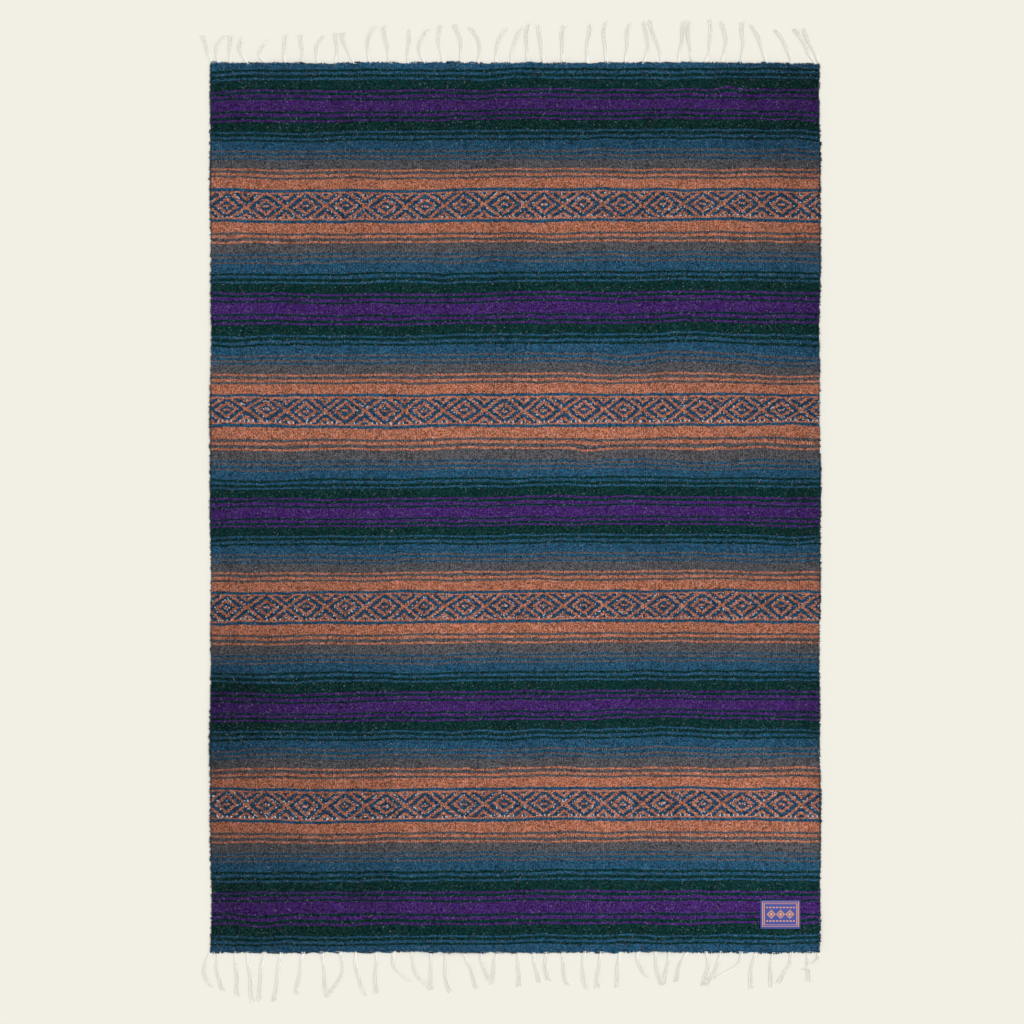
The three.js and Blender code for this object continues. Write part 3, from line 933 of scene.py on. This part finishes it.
# ---------------------------------------------------------------------------------------------
# The label: a small damask-woven ribbon of bright polyester, its cut ends turned under, laid on
# the corner of the cloth. Its design is a plain border round a row of stepped diamonds.
# ---------------------------------------------------------------------------------------------
LABEL_WIDTH, LABEL_HEIGHT, LABEL_THICKNESS = 84.6 * MM, 60.7 * MM, 0.8 * MM
LABEL_X, LABEL_Y = 564.5 * MM, -866.5 * MM
LABEL_GAP = 0.25 * MM
LABEL_SWELL = 0.25 * MM
LABEL_BLUE, LABEL_TAN = "#3a469c", "#e2a06c"

# The label's design, in mm
BORDERS_IN, BORDER_HALF = (4.0, 7.6), 0.5  # how far in the two border lines lie, and half a line
HEART_PITCH_HALF, HEART = 9.9, 4.0  # half way to the next diamond, and a heart's half size
OUTLINE_OUT, OUTLINE_HALF = 8.3, 1.3  # from a diamond's middle to its outline, and half that
ROW_HALF = 29.9  # from the middle to the end of the row
BAR_UP, BAR_HALF = 14.4, 0.95  # from the row to a bar of dashes, and half the bar
DASH_PITCH_HALF, LABEL_DASH_HALF = 3.6, 2.4


def label_material():
    """Satin-faced damask ribbon: fine polyester yarns with a soft gleam across them, a blue
    ground and a tan figure, which steps by whole yarns."""
    material, tree = new_material("damask-woven polyester ribbon, satin faced")
    place = add(tree, "ShaderNodeUVMap", {"uv_map": "label"})
    # The figure steps by 0.9 mm, three times coarser than real yarns, so that the steps show
    stepped = add(tree, "ShaderNodeVectorMath", {"operation": "SNAP", 1: (0.9, 0.9, 0.9)},
                  {0: place})
    parts = add(tree, "ShaderNodeSeparateXYZ", (), {0: stepped})
    sideways = add(tree, "ShaderNodeMath", {"operation": "ABSOLUTE"}, {0: parts.outputs[0]})
    upwards = add(tree, "ShaderNodeMath", {"operation": "ABSOLUTE"}, {0: parts.outputs[1]})

    # Borders: bands at two distances from the nearest edge
    from_side = add(tree, "ShaderNodeMath", {"operation": "SUBTRACT", 0: LABEL_WIDTH / MM / 2},
                    {1: sideways})
    from_end = add(tree, "ShaderNodeMath", {"operation": "SUBTRACT", 0: LABEL_HEIGHT / MM / 2},
                   {1: upwards})
    from_edge = add(tree, "ShaderNodeMath", {"operation": "MINIMUM"},
                    {0: from_side, 1: from_end})
    outer, inner = (add(tree, "ShaderNodeMath", {"operation": "COMPARE", 1: far, 2: BORDER_HALF},
                        {0: from_edge}) for far in BORDERS_IN)

    # Three stepped diamonds in a row, each an outline round a solid heart
    place_in_row = add(tree, "ShaderNodeMath", {"operation": "PINGPONG", 1: HEART_PITCH_HALF},
                       {0: parts.outputs[0]})
    climb = add(tree, "ShaderNodeMath", {"operation": "ADD"}, {0: place_in_row, 1: upwards})
    heart = add(tree, "ShaderNodeMath", {"operation": "LESS_THAN", 1: HEART}, {0: climb})
    outline = add(tree, "ShaderNodeMath",
                  {"operation": "COMPARE", 1: OUTLINE_OUT, 2: OUTLINE_HALF}, {0: climb})
    figure = add(tree, "ShaderNodeMath", {"operation": "MAXIMUM"}, {0: heart, 1: outline})
    row_end = add(tree, "ShaderNodeMath", {"operation": "LESS_THAN", 1: ROW_HALF}, {0: sideways})
    figure = add(tree, "ShaderNodeMath", {"operation": "MULTIPLY"}, {0: figure, 1: row_end})

    # A bar of short dashes above the row and another below it
    bar = add(tree, "ShaderNodeMath", {"operation": "COMPARE", 1: BAR_UP, 2: BAR_HALF},
              {0: upwards})
    dash_share = add(tree, "ShaderNodeMath", {"operation": "PINGPONG", 1: DASH_PITCH_HALF},
                     {0: parts.outputs[0]})
    dashes = add(tree, "ShaderNodeMath", {"operation": "LESS_THAN", 1: LABEL_DASH_HALF},
                 {0: dash_share})
    for condition in (dashes, row_end):
        bar = add(tree, "ShaderNodeMath", {"operation": "MULTIPLY"}, {0: bar, 1: condition})
    tan_there = outer
    for part in (inner, figure, bar):
        tan_there = add(tree, "ShaderNodeMath", {"operation": "MAXIMUM"}, {0: tan_there, 1: part})
    colours = add(tree, "ShaderNodeMix",
                  {"data_type": "RGBA", 6: linear(LABEL_BLUE), 7: linear(LABEL_TAN)},
                  {0: tan_there})

    # Satin ribs, 0.6 mm apart, with painted light and shade across each rib, and a slight
    # unevenness of the yarn
    ribs = add(tree, "ShaderNodeTexWave",
               {"wave_type": "BANDS", "bands_direction": "Y", "Scale": 0.52}, {"Vector": place})
    uneven = add(tree, "ShaderNodeTexNoise", {"noise_dimensions": "2D", "Scale": 0.45},
                 {"Vector": place})
    lightness = add(tree, "ShaderNodeMapRange", {"To Min": 0.86, "To Max": 1.1}, {"Value": ribs})
    patch = add(tree, "ShaderNodeMapRange", {"To Min": 0.85, "To Max": 1.15},
                {"Value": uneven})
    lightness = add(tree, "ShaderNodeMath", {"operation": "MULTIPLY"}, {0: lightness, 1: patch})
    shaded = add(tree, "ShaderNodeHueSaturation", (),
                 {"Color": colours.outputs[2], "Value": lightness})
    bump = add(tree, "ShaderNodeBump", {"Strength": 0.4, "Distance": 0.15 * MM},
               {"Height": ribs})
    shader = add(tree, "ShaderNodeBsdfPrincipled",
                 {"Roughness": 0.55, "IOR": 1.5, "Sheen Weight": 0.1},
                 {"Base Color": shaded, "Normal": bump})
    add(tree, "ShaderNodeOutputMaterial", (), {"Surface": shader})
    return material


def ribbon_under(x, y, freedom):
    """Height of the label's underside: a gap over the cloth's upper face, and a smooth
    unevenness times its freedom, that takes up no more than half of the gap."""
    swell = LABEL_SWELL * unevenness(x, y, (26 * MM, 30 * MM), 71) * freedom
    return lift(x, y) + WALL + LABEL_GAP + cockle(x, y) + np.maximum(swell, -LABEL_GAP / 2)


LABEL_COLUMNS, LABEL_ROWS = 44, 34
label_across = edge_spaced(LABEL_COLUMNS, LABEL_WIDTH, LABEL_THICKNESS / 2)
label_along = edge_spaced(LABEL_ROWS, LABEL_HEIGHT, LABEL_THICKNESS / 2)
label_u, label_v = np.meshgrid(label_across, label_along)
label_x = LABEL_X + label_u * LABEL_WIDTH / 2
label_y = LABEL_Y + label_v * LABEL_HEIGHT / 2
rounding = edge_rounding(label_u, label_v, LABEL_WIDTH, LABEL_HEIGHT, LABEL_THICKNESS)
label_base = ribbon_under(label_x, label_y, rounding)
label, grid_point = closed_shell(
    "label_ribbon",
    in_frame(label_x, label_y, label_base + LABEL_THICKNESS / 2 * (1 + rounding)),
    in_frame(label_x, label_y, label_base + LABEL_THICKNESS / 2 * (1 - rounding)),
    label_material())
grid_corner = grid_point[face_corners(label)]
give_uv(label, "label", label_u.ravel()[grid_corner] * LABEL_WIDTH / 2 / MM,
        label_v.ravel()[grid_corner] * LABEL_HEIGHT / 2 / MM)
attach(label, "root")
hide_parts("label")

# ---------------------------------------------------------------------------------------------
# The label's stitches: one row of lockstitch close to its edges, in blue polyester thread that
# sinks a little into the ribbon.
# ---------------------------------------------------------------------------------------------
STITCH_PITCH = 3.4 * MM
STITCH_LENGTH = 2.7 * MM
THREAD_RADIUS = 0.24 * MM
STITCH_INSET = 2.2 * MM
STITCH_STEPS, STITCH_SIDES = 6, 4
STITCH_TOP, STITCH_DIP = 0.84, 2.4  # thread radii: a stitch's middle over the ribbon, its arch
THREAD = "#2b357c"


def thread_material():
    """Spun polyester sewing thread: two plies that show as slanting bands of painted shade, with a
    faint gleam.
    """
    material, tree = new_material("spun polyester sewing thread")
    place = add(tree, "ShaderNodeTexCoord")
    # Ply bands 0.5 mm apart, with painted shade between the plies
    plies = add(tree, "ShaderNodeTexWave",
                {"wave_type": "BANDS", "bands_direction": "DIAGONAL", "Scale": 360.0},
                {"Vector": place.outputs["Object"]})
    shade = add(tree, "ShaderNodeMapRange", {"To Min": 0.75, "To Max": 1.15}, {"Value": plies})
    colour = add(tree, "ShaderNodeHueSaturation", {"Color": linear(THREAD)}, {"Value": shade})
    shader = add(tree, "ShaderNodeBsdfPrincipled",
                 {"Roughness": 0.6, "IOR": 1.5, "Sheen Weight": 0.1}, {"Base Color": colour})
    add(tree, "ShaderNodeOutputMaterial", (), {"Surface": shader})
    return material


def stitch_row(start, end):
    """Middles and the direction of the stitches of one straight row between two points."""
    start, end = np.array(start), np.array(end)
    length = np.linalg.norm(end - start)
    count = int(length / STITCH_PITCH)
    share = (np.arange(count) + 0.5) / count
    return start + share[:, None] * (end - start), np.tile((end - start) / length, (count, 1))


half_w, half_h = LABEL_WIDTH / 2 - STITCH_INSET, LABEL_HEIGHT / 2 - STITCH_INSET
stitch_corners = [(-half_w, -half_h), (half_w, -half_h), (half_w, half_h), (-half_w, half_h)]
next_corners = stitch_corners[1:] + stitch_corners[:1]
middles, directions = (np.concatenate(part) for part in
                       zip(*map(stitch_row, stitch_corners, next_corners)))
share = np.linspace(-0.5, 0.5, STITCH_STEPS)
stitch_x = LABEL_X + middles[:, :1] + directions[:, :1] * share * STITCH_LENGTH
stitch_y = LABEL_Y + middles[:, 1:] + directions[:, 1:] * share * STITCH_LENGTH
ribbon_top = ribbon_under(stitch_x, stitch_y, 1) + LABEL_THICKNESS
arch = STITCH_TOP - STITCH_DIP * (1 - np.cos(share * np.pi))
stitch_z = ribbon_top + THREAD_RADIUS * arch
points, faces = tubes(in_frame(stitch_x, stitch_y, stitch_z),
                      np.full(stitch_x.shape, THREAD_RADIUS), STITCH_SIDES,
                      np.array([0.0, 0.0, 1.0]))
stitches = new_piece("label_stitches", points, faces, thread_material())
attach(stitches, "root")

# ---------------------------------------------------------------------------------------------
# The floor and the light: a plain pale floor under even light from all round, with one broad
# soft lamp from the right that brings out the folds.
# ---------------------------------------------------------------------------------------------
FLOOR = "#ebe9e2"
FLOOR_SIZE = 200.0  # m, so wide that it reaches the horizon
FLOOR_GAP = 0.02 * MM  # between it and the lowest yarns
SKY, SKY_STRENGTH = "#fffefa", 0.9115
WINDOW_STRENGTH, WINDOW_SOFTNESS = 0.75, 24  # softness and tilt in degrees
WINDOW_TILT = (-14, 46, 0)


def floor_material():
    """Plain pale painted board, matte."""
    material, tree = new_material("plain pale painted floor, matte")
    shader = add(tree, "ShaderNodeBsdfPrincipled",
                 {"Base Color": linear(FLOOR), "Roughness": 0.95, "Specular IOR Level": 0.2})
    add(tree, "ShaderNodeOutputMaterial", (), {"Surface": shader})
    return material


floor_line = np.linspace(-FLOOR_SIZE / 2, FLOOR_SIZE / 2, 3)
floor_points = np.stack(np.meshgrid(floor_line, floor_line, -FLOOR_GAP), -1)
floor = new_piece("floor", floor_points, grid_faces(3, 3), floor_material())

world = bpy.data.worlds.new("pale room")
world.use_nodes = True
background = world.node_tree.nodes["Background"]
background.inputs["Color"].default_value = linear(SKY)
background.inputs["Strength"].default_value = SKY_STRENGTH
bpy.context.scene.world = world
lamp = bpy.data.objects.new("window", bpy.data.lights.new("window", "SUN"))
lamp.data.energy = WINDOW_STRENGTH
lamp.data.angle = math.radians(WINDOW_SOFTNESS)
lamp.rotation_euler = [math.radians(turn) for turn in WINDOW_TILT]
bpy.context.scene.collection.objects.link(lamp)
bpy.context.scene.view_settings.view_transform = "Standard"
